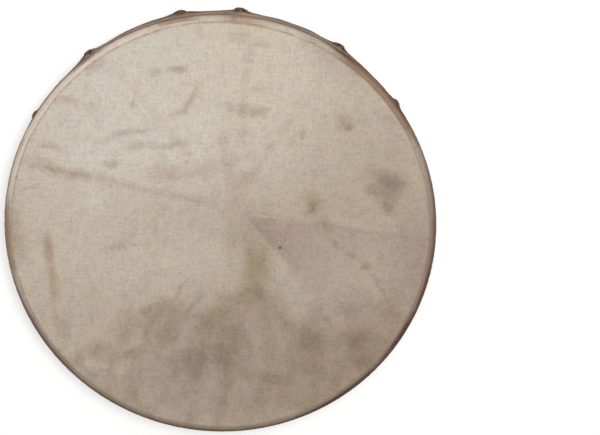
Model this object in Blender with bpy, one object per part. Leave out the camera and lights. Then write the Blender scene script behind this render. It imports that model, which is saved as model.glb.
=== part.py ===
"""A ceremonial frame drum: a bent wooden hoop, a rawhide head and a rawhide lacing.

The drum lies head up. Its axis is +Z, and it stands at z = 0 on the laces that cross
the hoop's back edge. Seen from above, +Y is the top of the playing face.
"""

import math

import bmesh
import bpy
from mathutils import Vector

# Hoop: one plank bent round, sizes in metres
DRUM_RADIUS = 0.2000          # outside of the hide on the hoop
HOOP_WALL = 0.0070
HOOP_DEPTH = 0.0600
HOOP_BACK_ROUND = 0.0012      # eased arrises of the back edge
HOOP_STEPS = 96

# Hide: one rawhide, stretched over the front edge and down the outside
HIDE_THICKNESS = 0.0015
FRONT_ROUND = 0.0050          # outside radius of the hide where it turns over the hoop
FRONT_ROUND_STEPS = 3
HIDE_STEPS = 120
HEM_HEIGHT = 0.0137           # hem above the hoop's back edge at a lace hole
HEM_RISE = 0.0080             # how far the hem arches up between two holes this far apart:
HEM_SPAN = 28.0               # degrees
SKIRT_LINE = 0.0300           # height of the last ring of the skirt that is not scalloped

# Slot through the hoop's wall
SLOT_ANGLE = 202.9
SLOT_LENGTH = 0.0620
SLOT_HEIGHT = 0.0235
SLOT_FROM_BACK = 0.0285       # middle of the slot above the hoop's back edge
SLOT_CORNER = 0.0060

# Lacing: rawhide thongs wound on themselves
STRAP_WIDTH = 0.0070          # flat strand where it crosses the hoop's back edge
STRAP_THICKNESS = 0.0020
RIM_BUNDLE = 0.0082           # wound strand between fork and hoop
FORK_LEG = 0.0062             # wound strand between fork and junction
CENTRE_LEG = 0.0056           # wound strand between junction and the middle
WEB_HEIGHT = 0.0055           # middle of the wound strands
FLATTEN_INSIDE = 0.0045       # a wound strand starts to flatten this far inside the hoop
LIP_INSIDE = 0.0018           # it dips to the edge this far inside
LIP_ON_EDGE = 0.0007          # and lies flat on the edge from here in
TURN_OUTSIDE = 0.0009         # to here from the outer arris, where it turns down
STRAP_TO_HEM = 0.0006         # it reaches the hide's face this far below the hem
STRAP_PAST_HEM = 0.0012       # and its knot starts this far above
STRAP_LEAN = 0.26             # degrees that it still has to go along the hem between the two
STRAP_CREEP = (0.13, 0.31, 0.57)    # degrees that it has gone at each ring round the arris
KNOT_REACH = 0.0068           # least way from the middle of a knot to a strand's first ring
KNOT_SPREAD = 1.1             # spare room between two strands that leave a knot
JOINT_LUMP = 0.0048           # half thickness of a knot
SIDES = 8

# Ties: a pair of lace holes in the hem, where one thong goes out and comes back
HOLE_ABOVE_HEM = 0.0050
HOLE_RADIUS = 0.0028
PLUG_RADIUS = 0.0021          # the thong's end in its hole
KNOT_STANDS_OUT = 0.0040
KNOT_HALF_WIDTH = 0.0034

# Middle lashing
LASHING_RADIUS = 0.0120
LASHING_HEIGHT = 0.0110
LASHING_ROUND = 0.0025

FIT_GAP = 0.0003              # between pieces that touch

# Each quarter of the web: two ties, and the junction as (angle, share of the radius). A tie
# is (angles of its two strands on the hoop's edge, angles of its two holes in the hem,
# angle of its fork, fork's share of the radius).
QUARTERS = {
    "lacing_northeast": ((((39.5, 52.5), (35.3, 56.5), 46.0, 0.835),
                          ((87.2, 97.6), (84.6, 100.2), 88.1, 0.835)), (67.5, 0.515)),
    "lacing_northwest": ((((129.6, 141.0), (127.0, 149.0), 137.6, 0.864),
                          ((175.4, 185.8), (172.8, 188.4), 176.8, 0.846)), (160.7, 0.515)),
    "lacing_southwest": ((((220.8, 231.2), (218.2, 233.8), 231.3, 0.815),
                          ((264.6, 275.0), (262.0, 277.6), 266.0, 0.880)), (246.5, 0.520)),
    "lacing_southeast": ((((309.8, 320.2), (307.2, 322.8), 317.0, 0.850),
                          ((-5.2, 5.2), (-7.8, 7.8), 358.0, 0.850)), (337.5, 0.515)),
}

# Heights and radii that follow from the sizes above
HOOP_BACK = STRAP_THICKNESS + FIT_GAP
HOOP_FRONT = HOOP_BACK + HOOP_DEPTH
HIDE_INSIDE = DRUM_RADIUS - HIDE_THICKNESS
HOOP_OUTSIDE = HIDE_INSIDE - FIT_GAP
HOOP_INSIDE = HOOP_OUTSIDE - HOOP_WALL
HEAD_UNDER = HOOP_FRONT + FIT_GAP
HEAD_TOP = HEAD_UNDER + HIDE_THICKNESS
HEM_LOW = HOOP_BACK + HEM_HEIGHT
HOLE_HEIGHT = HEM_LOW + HOLE_ABOVE_HEM
HOOP_FRONT_ROUND = FRONT_ROUND - HIDE_THICKNESS - FIT_GAP


def clear_scene():
    for old in list(bpy.data.objects):
        bpy.data.objects.remove(old, do_unlink=True)


def plain_material(name, colour, roughness):
    material = bpy.data.materials.new(name)
    material.use_nodes = True
    shader = material.node_tree.nodes["Principled BSDF"]
    shader.inputs["Base Color"].default_value = (*colour, 1.0)
    shader.inputs["Roughness"].default_value = roughness
    shader.inputs["Metallic"].default_value = 0.0
    return material


def object_from(bm, name, material, sharp_angle=35.0):
    """Closes the mesh up as an object with outward faces and smooth round sides."""
    bmesh.ops.recalc_face_normals(bm, faces=bm.faces)
    mesh = bpy.data.meshes.new(name)
    bm.to_mesh(mesh)
    bm.free()
    mesh.materials.append(material)
    mesh.shade_smooth()
    mesh.set_sharp_from_angle(angle=math.radians(sharp_angle))
    piece = bpy.data.objects.new(name, mesh)
    bpy.context.scene.collection.objects.link(piece)
    return piece


def around(radius, degrees, height):
    """A point at this radius and angle about the drum's axis."""
    angle = math.radians(degrees)
    return Vector((radius * math.cos(angle), radius * math.sin(angle), height))


def outward(degrees):
    return around(1.0, degrees, 0.0)


def quarter_arc(centre_radius, centre_height, round_radius, steps, start, stop):
    """Profile points (radius, height) on an arc from one angle to another."""
    points = []
    for step in range(steps + 1):
        angle = math.radians(start + (stop - start) * step / steps)
        points.append((centre_radius + round_radius * math.cos(angle),
                       centre_height + round_radius * math.sin(angle)))
    return points


def cut_with(piece, cutter):
    """Takes the cutter's shape out of the piece with a live Boolean."""
    cutter.display_type = "WIRE"
    cutter.hide_render = True
    cut = piece.modifiers.new(cutter.name, "BOOLEAN")
    cut.operation = "DIFFERENCE"
    cut.solver = "EXACT"
    cut.object = cutter


def all_holes():
    """Angles of the sixteen lace holes, in order round the hem."""
    return sorted(hole % 360.0 for ties, junction in QUARTERS.values()
                  for edges, holes, fork_angle, fork_share in ties for hole in holes)


def hem_height(degrees):
    """Height of the hide's hem: low at each hole, arched up between them."""
    holes = all_holes()
    for index, hole in enumerate(holes):
        span = (holes[(index + 1) % len(holes)] - hole) % 360.0
        along = (degrees - hole) % 360.0
        if along <= span:
            share = along / span
            rise = HEM_RISE * (span / HEM_SPAN) ** 2
            return HEM_LOW + rise * 4.0 * share * (1.0 - share)
    return HEM_LOW


def make_hoop(material):
    """The bent plank: a ring with its front outer corner rounded for the hide."""
    inside, outside = HOOP_INSIDE, HOOP_OUTSIDE
    back, front, ease = HOOP_BACK, HOOP_FRONT, HOOP_BACK_ROUND
    profile = [(inside, front - ease), (inside, back + ease), (inside + ease, back),
               (outside - ease, back), (outside, back + ease)]
    profile += quarter_arc(outside - HOOP_FRONT_ROUND, front - HOOP_FRONT_ROUND,
                           HOOP_FRONT_ROUND, FRONT_ROUND_STEPS, 0.0, 90.0)
    profile.append((inside + ease, front))

    bm = bmesh.new()
    rings = []
    for radius, height in profile:
        rings.append([bm.verts.new(around(radius, 360.0 * step / HOOP_STEPS, height))
                      for step in range(HOOP_STEPS)])
    for index, ring in enumerate(rings):
        after = rings[(index + 1) % len(rings)]
        for step in range(HOOP_STEPS):
            ahead = (step + 1) % HOOP_STEPS
            bm.faces.new((ring[step], ring[ahead], after[ahead], after[step]))
    hoop = object_from(bm, "hoop", material)
    cut_with(hoop, make_slot_cutter(material))
    return hoop


def make_slot_cutter(material):
    """A block with rounded corners that passes straight out through the hoop's wall."""
    middle = around(HOOP_INSIDE + HOOP_WALL / 2, SLOT_ANGLE, HOOP_BACK + SLOT_FROM_BACK)
    out = outward(SLOT_ANGLE)
    along = Vector((0.0, 0.0, 1.0)).cross(out)
    reach = HOOP_WALL + SLOT_LENGTH**2 / (8.0 * HOOP_INSIDE)
    half_length, half_height = SLOT_LENGTH / 2 - SLOT_CORNER, SLOT_HEIGHT / 2 - SLOT_CORNER
    corners = ((1, 1, 0.0), (-1, 1, 90.0), (-1, -1, 180.0), (1, -1, 270.0))
    outline = []
    for side, level, start in corners:
        outline += quarter_arc(side * half_length, level * half_height, SLOT_CORNER, 3,
                               start, start + 90.0)
    bm = bmesh.new()
    ends = []
    for depth in (-reach, reach):
        ends.append([bm.verts.new(middle + out * depth + along * x + Vector((0.0, 0.0, z)))
                     for x, z in outline])
    bridge(bm, ends[0], ends[1])
    bm.faces.new(ends[0])
    bm.faces.new(ends[1])
    return object_from(bm, "slot_cutter", material)


def make_drumhead(material):
    """The rawhide: a flat membrane, a rolled corner and a skirt with a scalloped hem."""
    def wall(radius, top, corner):
        points = quarter_arc(radius - corner, top - corner, corner, FRONT_ROUND_STEPS,
                             90.0, 0.0)
        return points + [(radius, SKIRT_LINE), (radius, None)]

    outer = wall(DRUM_RADIUS, HEAD_TOP, FRONT_ROUND)
    inner = wall(HIDE_INSIDE, HEAD_UNDER, FRONT_ROUND - HIDE_THICKNESS)
    profile = outer + inner[::-1]

    bm = bmesh.new()
    rings = []
    for radius, height in profile:
        ring = []
        for step in range(HIDE_STEPS):
            degrees = 360.0 * step / HIDE_STEPS
            level = hem_height(degrees) if height is None else height
            ring.append(bm.verts.new(around(radius, degrees, level)))
        rings.append(ring)
    for ring, after in zip(rings, rings[1:]):
        bridge(bm, ring, after)
    bm.faces.new(rings[0])
    bm.faces.new(rings[-1])
    drumhead = object_from(bm, "drumhead", material)
    cut_with(drumhead, make_hole_cutter(material))
    return drumhead


def make_hole_cutter(material):
    """Sixteen round pins that pierce the skirt."""
    pin_sides = 12
    bm = bmesh.new()
    for degrees in all_holes():
        out = outward(degrees)
        along = Vector((0.0, 0.0, 1.0)).cross(out)
        ends = []
        for radius in (HIDE_INSIDE - HIDE_THICKNESS, DRUM_RADIUS + HIDE_THICKNESS):
            middle = around(radius, degrees, HOLE_HEIGHT)
            ring = []
            for step in range(pin_sides):
                turn = math.tau * (step + 0.5) / pin_sides
                ring.append(bm.verts.new(middle + HOLE_RADIUS * math.cos(turn) * along
                                         + Vector((0.0, 0.0, HOLE_RADIUS * math.sin(turn)))))
            ends.append(ring)
        bridge(bm, ends[0], ends[1])
        bm.faces.new(ends[0])
        bm.faces.new(ends[1])
    return object_from(bm, "hole_cutter", material)


def section(bm, middle, heading, normal, width, thickness):
    """An eight-sided cross-section of a strand, flat side square to the normal."""
    side = heading.cross(normal).normalized()
    flat = math.cos(math.pi / SIDES)
    ring = []
    for step in range(SIDES):
        turn = math.tau * (step + 0.5) / SIDES
        ring.append(bm.verts.new(middle + side * (width / 2 * math.cos(turn) / flat)
                                 - normal * (thickness / 2 * math.sin(turn) / flat)))
    return ring


def bridge(bm, ring, after):
    count = len(ring)
    for step in range(count):
        ahead = (step + 1) % count
        bm.faces.new((ring[step], ring[ahead], after[ahead], after[step]))


def strand(bm, stations):
    """Sweeps a strand through stations of (middle, normal, width, thickness).

    It returns the first and last sections, which are left open."""
    rings = []
    last = len(stations) - 1
    for index, (middle, normal, width, thickness) in enumerate(stations):
        before = stations[max(index - 1, 0)][0]
        beyond = stations[min(index + 1, last)][0]
        heading = (beyond - before).normalized()
        rings.append(section(bm, middle, heading, normal, width, thickness))
    for ring, after in zip(rings, rings[1:]):
        bridge(bm, ring, after)
    return rings[0], rings[-1]


def knot(bm, open_rings, extra_points):
    """Closes a lump of thong over the open ends of the strands that meet in it."""
    lump = [bm.verts.new(point) for point in extra_points]
    corners = lump + [vert for ring in open_rings for vert in ring]
    made = bmesh.ops.convex_hull(bm, input=corners)
    ends = [set(ring) for ring in open_rings]
    caps = [face for face in made["geom"] if isinstance(face, bmesh.types.BMFace)
            and any(set(face.verts) <= end for end in ends)]
    bmesh.ops.delete(bm, geom=caps, context="FACES")


DOWN = Vector((0.0, 0.0, -1.0))


def web_point(degrees, share):
    return around(DRUM_RADIUS * share, degrees, WEB_HEIGHT)


def straight_strand(bm, start, stop, width, stop_width, reach_start, reach_stop):
    """A wound strand in the plane of the web, between two knots."""
    heading = (stop - start).normalized()
    first = start + heading * reach_start
    last = stop - heading * reach_stop
    middle = first.lerp(last, 0.5)
    half_way = (width + stop_width) / 2
    return strand(bm, [(first, DOWN, width, width), (middle, DOWN, half_way, half_way),
                       (last, DOWN, stop_width, stop_width)])


def edge_crossing(edge_angle):
    """Where a strand meets the middle of the hoop's back edge, in the plane of the web."""
    return around(HOOP_INSIDE + HOOP_WALL / 2, edge_angle, WEB_HEIGHT)


def knot_reach(middle, ends, width):
    """How far out the strands of a knot start, so that none lies behind another's end."""
    headings = [(end - middle).normalized() for end in ends]
    reach = KNOT_REACH
    for index, heading in enumerate(headings):
        for other in headings[index + 1:]:
            reach = max(reach, KNOT_SPREAD * width / 2 / math.tan(heading.angle(other) / 2))
    return reach


def rim_strand(bm, fork, edge_angle, hole_angle, reach):
    """The strand from a fork over the hoop's back edge to its hole in the hem.

    It returns its open end at the fork. Its far end is a knot with a plug in the hole."""
    half = STRAP_THICKNESS / 2
    mid_wall = HOOP_INSIDE + HOOP_WALL / 2
    crossing = edge_crossing(edge_angle)
    side = math.copysign(1.0, hole_angle - edge_angle)
    under_hem = hole_angle - side * STRAP_LEAN
    turn_in, turn_over, turn_out = [edge_angle + side * creep for creep in STRAP_CREEP]
    start = fork + (crossing - fork).normalized() * reach
    bend = HOOP_INSIDE - FLATTEN_INSIDE

    def inside(radius, height):
        """A point on the straight run, in plan, at this radius."""
        share = (radius - fork.xy.length) / (mid_wall - fork.xy.length)
        point = fork.lerp(crossing, share)
        return Vector((point.x, point.y, height))

    clear = HOOP_OUTSIDE + FIT_GAP + half
    over_hem = DRUM_RADIUS + FIT_GAP + half
    stations = [
        (start, DOWN, RIM_BUNDLE, RIM_BUNDLE),
        (inside((start.xy.length + bend) / 2, WEB_HEIGHT), DOWN, RIM_BUNDLE,
         RIM_BUNDLE * 0.9),
        (inside(bend, WEB_HEIGHT * 0.62), DOWN, RIM_BUNDLE * 0.95,
         STRAP_THICKNESS * 2.4),
        (inside(HOOP_INSIDE - LIP_INSIDE, half * 1.6), DOWN, STRAP_WIDTH * 1.05,
         STRAP_THICKNESS * 1.5),
        (inside(HOOP_INSIDE + LIP_ON_EDGE, half), DOWN, STRAP_WIDTH, STRAP_THICKNESS),
        (around(HOOP_OUTSIDE - TURN_OUTSIDE, turn_in, half), DOWN, STRAP_WIDTH,
         STRAP_THICKNESS),
        (around(clear - half * 0.5, turn_over, half * 1.6),
         (outward(turn_over) + DOWN).normalized(), STRAP_WIDTH, STRAP_THICKNESS),
        (around(clear + half * 0.1, turn_out, HOOP_BACK + HOOP_BACK_ROUND), outward(turn_out),
         STRAP_WIDTH, STRAP_THICKNESS),
        (around(over_hem, under_hem, HEM_LOW - STRAP_TO_HEM), outward(under_hem),
         STRAP_WIDTH, STRAP_THICKNESS),
        (around(over_hem, hole_angle, HEM_LOW + STRAP_PAST_HEM), outward(hole_angle),
         STRAP_WIDTH, STRAP_THICKNESS),
    ]
    fork_end, knot_end = strand(bm, stations)

    hole_out = outward(hole_angle)
    along = Vector((0.0, 0.0, 1.0)).cross(hole_out)
    plug_start = around(DRUM_RADIUS + FIT_GAP * 0.8, hole_angle, HOLE_HEIGHT)
    plug_stop = around(HIDE_INSIDE + FIT_GAP * 0.8, hole_angle, HOLE_HEIGHT)
    plug_wide = PLUG_RADIUS * 2
    plug_open, plug_tip = strand(bm, [
        (plug_start, DOWN, plug_wide, plug_wide), (plug_stop, DOWN, plug_wide, plug_wide)])
    bm.faces.new(plug_tip)

    face = around(DRUM_RADIUS + KNOT_STANDS_OUT, hole_angle, HOLE_HEIGHT)
    rim = around(DRUM_RADIUS + KNOT_STANDS_OUT * 0.45, hole_angle, HOLE_HEIGHT)
    wide, high = KNOT_HALF_WIDTH, KNOT_HALF_WIDTH * 0.8
    lump = []
    for centre, size in ((face, 0.5), (rim, 1.0)):
        for x, z in ((1, 0.4), (0.4, 1), (-0.4, 1), (-1, 0.4), (-1, -0.4), (1, -0.4)):
            lump.append(centre + along * (x * wide * size) + Vector((0.0, 0.0, z * high * size)))
    knot(bm, [knot_end, plug_open], lump)
    return fork_end


def make_lacing(name, ties, junction, material):
    """A quarter of the web: two ties with their forks, a junction and a leg to the middle."""
    bm = bmesh.new()
    junction_point = web_point(*junction)
    junction_rings = []
    for edge_angles, hole_angles, fork_angle, fork_share in ties:
        fork = web_point(fork_angle, fork_share)
        ends = [edge_crossing(edge_angle) for edge_angle in edge_angles]
        reach = knot_reach(fork, ends + [junction_point], RIM_BUNDLE)
        fork_rings = [rim_strand(bm, fork, edge_angle, hole_angle, reach)
                      for edge_angle, hole_angle in zip(edge_angles, hole_angles)]
        leg_start, leg_stop = straight_strand(bm, fork, junction_point, RIM_BUNDLE * 0.9,
                                              FORK_LEG, reach, KNOT_REACH)
        knot(bm, fork_rings + [leg_start], lump_points(fork))
        junction_rings.append(leg_stop)
    middle = Vector((0.0, 0.0, WEB_HEIGHT))
    leg_start, leg_stop = straight_strand(bm, junction_point, middle, FORK_LEG, CENTRE_LEG,
                                          KNOT_REACH, LASHING_RADIUS + FIT_GAP)
    bm.faces.new(leg_stop)
    knot(bm, junction_rings + [leg_start], lump_points(junction_point))
    return object_from(bm, name, material, sharp_angle=60.0)


def lump_points(middle):
    """A few points that round a knot in the web off above and below."""
    spread = JOINT_LUMP * 0.5
    points = []
    for level in (-1, 1):
        for x, y in ((1, 0), (0, 1), (-1, 0), (0, -1)):
            points.append(middle + Vector((x * spread, y * spread, level * JOINT_LUMP)))
    return points


def make_lashing(material):
    """The wound hub where the four legs meet."""
    low = WEB_HEIGHT - LASHING_HEIGHT / 2
    high = WEB_HEIGHT + LASHING_HEIGHT / 2
    profile = [(LASHING_RADIUS - LASHING_ROUND, low + LASHING_ROUND * 0.2),
               (LASHING_RADIUS, low + LASHING_ROUND), (LASHING_RADIUS, high - LASHING_ROUND),
               (LASHING_RADIUS - LASHING_ROUND, high - LASHING_ROUND * 0.2)]
    steps = 24
    bm = bmesh.new()
    rings = []
    for radius, height in profile:
        rings.append([bm.verts.new(around(radius, 360.0 * step / steps, height))
                      for step in range(steps)])
    for ring, after in zip(rings, rings[1:]):
        bridge(bm, ring, after)
    bm.faces.new(rings[0])
    bm.faces.new(rings[-1])
    return object_from(bm, "centre_lashing", material)


clear_scene()
wood = plain_material("bent wood", (0.40, 0.22, 0.12), 0.6)
rawhide = plain_material("drumhead rawhide", (0.52, 0.46, 0.36), 0.65)
thong = plain_material("lacing rawhide", (0.76, 0.65, 0.47), 0.7)

make_hoop(wood)
make_drumhead(rawhide)
for lacing_name, (quarter_ties, quarter_junction) in QUARTERS.items():
    make_lacing(lacing_name, quarter_ties, quarter_junction, thong)
make_lashing(thong)
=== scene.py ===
"""A ceremonial frame drum: its finish, lacing and rawhide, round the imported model."""

import math
import random

import bmesh
import bpy
from mathutils import Matrix, Vector, noise


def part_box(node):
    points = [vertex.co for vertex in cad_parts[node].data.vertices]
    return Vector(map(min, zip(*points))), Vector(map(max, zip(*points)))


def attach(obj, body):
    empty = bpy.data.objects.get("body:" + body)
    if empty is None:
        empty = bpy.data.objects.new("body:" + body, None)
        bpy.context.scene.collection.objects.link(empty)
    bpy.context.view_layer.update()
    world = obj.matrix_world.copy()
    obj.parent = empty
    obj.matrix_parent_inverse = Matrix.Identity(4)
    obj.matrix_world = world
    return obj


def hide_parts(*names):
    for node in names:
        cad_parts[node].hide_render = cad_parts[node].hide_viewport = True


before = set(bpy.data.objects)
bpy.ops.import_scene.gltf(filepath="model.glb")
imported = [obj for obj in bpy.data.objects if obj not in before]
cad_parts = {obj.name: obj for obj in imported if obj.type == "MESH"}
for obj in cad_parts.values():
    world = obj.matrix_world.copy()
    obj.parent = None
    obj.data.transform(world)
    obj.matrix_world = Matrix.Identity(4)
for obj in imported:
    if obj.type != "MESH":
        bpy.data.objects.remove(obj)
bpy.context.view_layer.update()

# The hoop: one plank of reddish brown wood, steamed and bent round, worn pale on its inner
# arris. The hide and the lacing hold everything else to it. A slot is cut through its wall.
hoop_low, hoop_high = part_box("hoop")
head_low, head_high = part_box("drumhead")
HOOP_OUT = hoop_high.x
HOOP_WALL = 0.0070
HOOP_IN = HOOP_OUT - HOOP_WALL
HOOP_BACK = hoop_low.z
HOOP_FRONT = hoop_high.z
HOOP_ARRIS = 0.0011
HOOP_SHOULDER = 0.0032
SLOT_ANGLE = math.radians(202.9)
SLOT_LENGTH = 0.0620
SLOT_HEIGHT = 0.0235
SLOT_MIDDLE = HOOP_BACK + 0.0285
SLOT_CORNER = 0.0060


def fill(socket, value):
    """Gives an input a value, or links it to an output or to a node's first output."""
    if isinstance(value, bpy.types.Node):
        value = next(out for out in value.outputs if out.enabled)
    if isinstance(value, bpy.types.NodeSocket):
        tree.links.new(value, socket)
    elif value is not None:
        socket.default_value = srgb(*value) if socket.type == "RGBA" else value


def put(kind, inputs=(), **settings):
    """Adds a node to the tree in hand. Its inputs are given by name or in their order."""
    node = tree.nodes.new(kind)
    for name, value in settings.items():
        setattr(node, name, value)
    for key, value in inputs.items() if isinstance(inputs, dict) else enumerate(inputs):
        fill(node.inputs[key], value)
    return node


def sums(operation, *values):
    """One sum on numbers."""
    return put("ShaderNodeMath", values, operation=operation).outputs[0]


def times(value, *others):
    for other in others:
        value = sums("MULTIPLY", value, other)
    return value


def plus(value, other):
    return sums("ADD", value, other)


def minus(value, other):
    return sums("SUBTRACT", value, other)


def times_plus(value, other, added):
    return sums("MULTIPLY_ADD", value, other, added)


def vectors(operation, *values):
    """One sum on vectors, which gives a vector or a number."""
    node = put("ShaderNodeVectorMath", values, operation=operation)
    is_number = operation in ("LENGTH", "DISTANCE", "DOT_PRODUCT")
    return node.outputs["Value" if is_number else "Vector"]


def scaled(vector, amount):
    return vectors("SCALE", vector, None, None, amount)


def xyz(x=0.0, y=0.0, z=0.0):
    return put("ShaderNodeCombineXYZ", (x, y, z))


def split(vector):
    return put("ShaderNodeSeparateXYZ", [vector]).outputs


def srgb(red, green, blue):
    """A colour as a paint chart gives it, 0 to 255, in linear light."""
    linear = []
    for value in (red, green, blue):
        share = value / 255
        linear.append(share / 12.92 if share <= 0.04045 else ((share + 0.055) / 1.055) ** 2.4)
    return (*linear, 1.0)


def blend(amount, under, over):
    """Lays one colour over another by an amount."""
    return put("ShaderNodeMix", {0: amount, 6: under, 7: over}, data_type="RGBA").outputs[2]


def lay(under, where, amount, over):
    """Lays one colour over another in one place, by an amount."""
    return blend(times(where, amount), under, over)


def soft_step(value, start, stop):
    """0 before start and 1 after stop, with a smooth rise between; start may be the larger."""
    return put("ShaderNodeMapRange", {"Value": value, "From Min": min(start, stop),
        "From Max": max(start, stop), "To Min": float(start > stop), "To Max": float(start < stop)},
        interpolation_type="SMOOTHSTEP").outputs[0]


def mottle(place, scale, detail=3.0, rough=0.55, stretch=(1.0, 1.0, 1.0), warp=0.0, out="Fac"):
    """A noise value between 0 and 1 over a place."""
    if stretch != (1.0, 1.0, 1.0):
        place = vectors("MULTIPLY", place, stretch)
    return put("ShaderNodeTexNoise", {"Vector": place, "Scale": scale, "Detail": detail,
        "Roughness": rough, "Distortion": warp}).outputs[out]


def stray(place, scale, detail, rough=0.5):
    """A vector round nothing that wanders over a place."""
    return vectors("SUBTRACT", mottle(place, scale, detail, rough, out="Color"), (0.5, 0.5, 0.5))


DRIED_BY = 0.0047


def new_material(name):
    """Takes a new material in hand. Gives it, the place on the drum as it was made round, and
    the place's radius from the axis, angle round it from -0.5 to 0.5, and height."""
    global tree
    material = bpy.data.materials.new(name)
    material.use_nodes = True
    tree = material.node_tree
    dried = put("ShaderNodeTexCoord").outputs["Object"]
    x, y, z = split(dried)
    place = vectors("MULTIPLY_ADD", xyz(y, x), (DRIED_BY, DRIED_BY, 0.0), dried)
    x, y, z = split(place)
    radius = vectors("LENGTH", vectors("MULTIPLY", place, (1.0, 1.0, 0.0)))
    return material, place, radius, sums("DIVIDE", sums("ARCTAN2", y, x), math.tau), z


def end_material(colour, roughness, shine, strength, depth, relief):
    """Gives the material in hand its colour, roughness, shine and small relief."""
    bump = put("ShaderNodeBump", {"Strength": strength, "Distance": depth, "Height": relief})
    inputs = tree.nodes["Principled BSDF"].inputs
    fill(inputs["Base Color"], colour)
    fill(inputs["Roughness"], roughness)
    fill(inputs["Specular IOR Level"], shine)
    fill(inputs["Normal"], bump)


def new_tree(name, sizes):
    """Takes a new geometry tree in hand, with a geometry and named sizes going in."""
    global tree
    tree = bpy.data.node_groups.new(name, "GeometryNodeTree")
    for way in ("OUTPUT", "INPUT"):
        tree.interface.new_socket("Geometry", in_out=way, socket_type="NodeSocketGeometry")
    for label, value in sizes.items():
        socket = tree.interface.new_socket(label, in_out="INPUT", socket_type="NodeSocketFloat")
        socket.default_value = value
    return tree.nodes.new("NodeGroupInput").outputs


def end_tree(geometry, material):
    """Realizes what the tree made, gives it its material and sends it out."""
    real = put("GeometryNodeRealizeInstances", [geometry])
    finished = put("GeometryNodeSetMaterial", {"Geometry": real, "Material": material})
    put("NodeGroupOutput", [finished])


def grown(name, start=None):
    """Runs the tree in hand on a start mesh and keeps the result as a plain mesh object.

    The drum has dried a little out of round, so each piece, made round, is drawn in from
    lower left to upper right and let out the other way."""
    holder = bpy.data.objects.new(name, start or bpy.data.meshes.new(name))
    bpy.context.scene.collection.objects.link(holder)
    grow = holder.modifiers.new("grow", "NODES")
    grow.node_group = tree
    for item in tree.interface.items_tree:
        if item.in_out == "INPUT" and item.socket_type == "NodeSocketFloat":
            grow[item.identifier] = item.default_value
    ready = holder.evaluated_get(bpy.context.evaluated_depsgraph_get())
    mesh = bpy.data.meshes.new_from_object(ready)
    holder.modifiers.remove(grow)
    holder.data = mesh
    mesh.name = name
    mesh.transform(Matrix(((1.0, -DRIED_BY, 0.0, 0.0), (-DRIED_BY, 1.0, 0.0, 0.0),
                           (0.0, 0.0, 1.0, 0.0), (0.0, 0.0, 0.0, 1.0))))
    return holder


wood, place, radius, turn, height = new_material("bent wood")
spin = times(turn, math.tau)
grain_place = xyz(times(sums("COSINE", spin), 0.020), times(sums("SINE", spin), 0.020),
    plus(height, times(radius, 1.7)))
grain = mottle(grain_place, 330.0, 4.0, 0.6, warp=0.4)
colour = blend(soft_step(grain, 0.35, 0.68), (172, 124, 92), (133, 84, 55))
growth = soft_step(mottle(grain_place, 60.0, 2.0), 0.45, 0.7)
colour = lay(colour, growth, 0.55, (186, 132, 88))
pores = soft_step(mottle(grain_place, 1400.0, 2.0, 0.7), 0.58, 0.72)
colour = lay(colour, pores, 0.5, (84, 54, 38))
inner_wall = soft_step(radius, HOOP_IN + 0.0010, HOOP_IN + 0.0002)
colour = lay(colour, inner_wall, 0.62, (138, 116, 94))
near_head = soft_step(height, HOOP_FRONT - 0.022, HOOP_FRONT)
colour = lay(colour, near_head, 0.4, (92, 74, 56))
back_band = soft_step(height, HOOP_BACK + 0.0045, HOOP_BACK + 0.0005)
worn_arris = times(back_band, soft_step(radius, HOOP_IN + 0.0030, HOOP_IN + 0.0006))
colour = lay(colour, worn_arris, 0.6, (214, 178, 150))
outer_side = soft_step(radius, HOOP_OUT - 0.0014, HOOP_OUT - 0.0004)
colour = lay(colour, outer_side, 0.55, (92, 60, 42))
waxed = put("ShaderNodeMapRange", {"Value": grain, "To Min": 0.62, "To Max": 0.44})
end_material(colour, waxed, 0.35, 0.35, 0.0004, grain)

size = new_tree("bent hoop", {"Middle radius": (HOOP_OUT + HOOP_IN) / 2, "Wall": HOOP_WALL,
    "Depth": HOOP_FRONT - HOOP_BACK, "Back height": HOOP_BACK, "Arris": HOOP_ARRIS,
    "Shoulder": HOOP_SHOULDER, "Slot length": SLOT_LENGTH, "Slot height": SLOT_HEIGHT,
    "Slot corner": SLOT_CORNER, "Slot angle": SLOT_ANGLE, "Slot middle": SLOT_MIDDLE,
    "Tool marks": 0.00035})
ring = put("GeometryNodeCurvePrimitiveCircle", {"Resolution": 300, "Radius": size["Middle radius"]})
ring = put("GeometryNodeSetCurveNormal", {"Curve": ring}, mode="Z_UP")
section = put("GeometryNodeCurvePrimitiveQuadrilateral",
    {"Width": size["Wall"], "Height": size["Depth"]})
outwards, frontwards = split(put("GeometryNodeInputPosition"))[:2]
is_front = put("FunctionNodeCompare", {"A": frontwards, "B": 0.0}, operation="GREATER_THAN")
is_out = put("FunctionNodeCompare", {"A": outwards, "B": 0.0}, operation="GREATER_THAN")
is_shoulder = put("FunctionNodeBooleanMath", [is_front, is_out])
round_off = put("GeometryNodeSwitch", {"Switch": is_shoulder, "False": size["Arris"],
    "True": size["Shoulder"]}, input_type="FLOAT")
section = put("GeometryNodeFilletCurve", {"Curve": section, "Count": 5, "Radius": round_off,
    "Limit Radius": True}, mode="POLY")
section = put("GeometryNodeResampleCurve", {"Curve": section, "Count": 104})
bent = put("GeometryNodeCurveToMesh", {"Curve": ring, "Profile Curve": section})
knife = stray(vectors("MULTIPLY", put("GeometryNodeInputPosition"), (1.0, 1.0, 4.0)), 26.0, 2.0)
bent = put("GeometryNodeSetPosition", {"Geometry": bent, "Offset": scaled(knife, size["Tool marks"])})
half_up = plus(size["Back height"], sums("DIVIDE", size["Depth"], 2.0))
bent = put("GeometryNodeTransform", {"Geometry": bent, "Translation": xyz(z=half_up)})
slot = put("GeometryNodeCurvePrimitiveQuadrilateral",
    {"Width": size["Slot length"], "Height": size["Slot height"]})
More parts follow.
